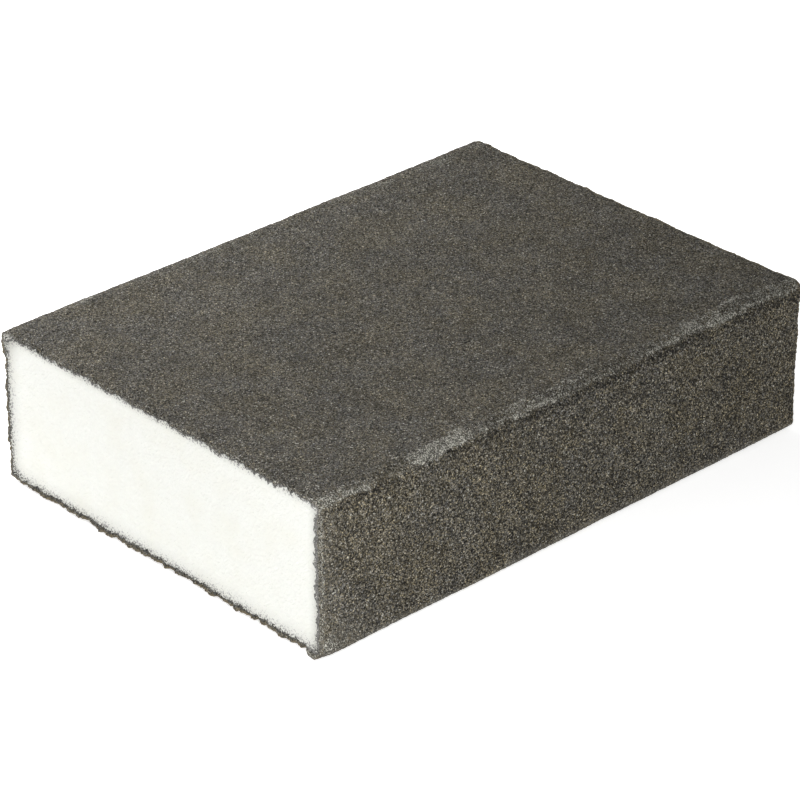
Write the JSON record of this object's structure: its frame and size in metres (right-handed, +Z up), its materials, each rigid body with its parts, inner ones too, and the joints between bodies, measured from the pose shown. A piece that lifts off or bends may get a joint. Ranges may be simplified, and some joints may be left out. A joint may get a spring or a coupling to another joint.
{
  "type": "sanding block",
  "caption": "Rectangular foam hand sanding block with abrasive-coated top, bottom and long sides, rounded long edges and bare cut foam ends.",
  "frame": {"origin": "middle of the footprint, on the surface that the block stands on", "axes": "+X along the length between the two cut ends, +Y across the width towards the back side, +Z up through the thickness"},
  "size_m": [0.095, 0.0694, 0.0248],
  "materials": {
    "foam": "matte",
    "make_resin": "matte",
    "face_grit": "matte",
    "side_grit": "matte"
  },
  "bodies": {
    "root": {"foam_core": "foam", "top_make_coat": "make_resin", "bottom_make_coat": "make_resin", "front_make_coat": "make_resin", "back_make_coat": "make_resin", "top_grit_layer": "face_grit", "bottom_grit_layer": "face_grit", "front_grit_layer": "side_grit", "back_grit_layer": "side_grit"}
  },
  "joints": []
}
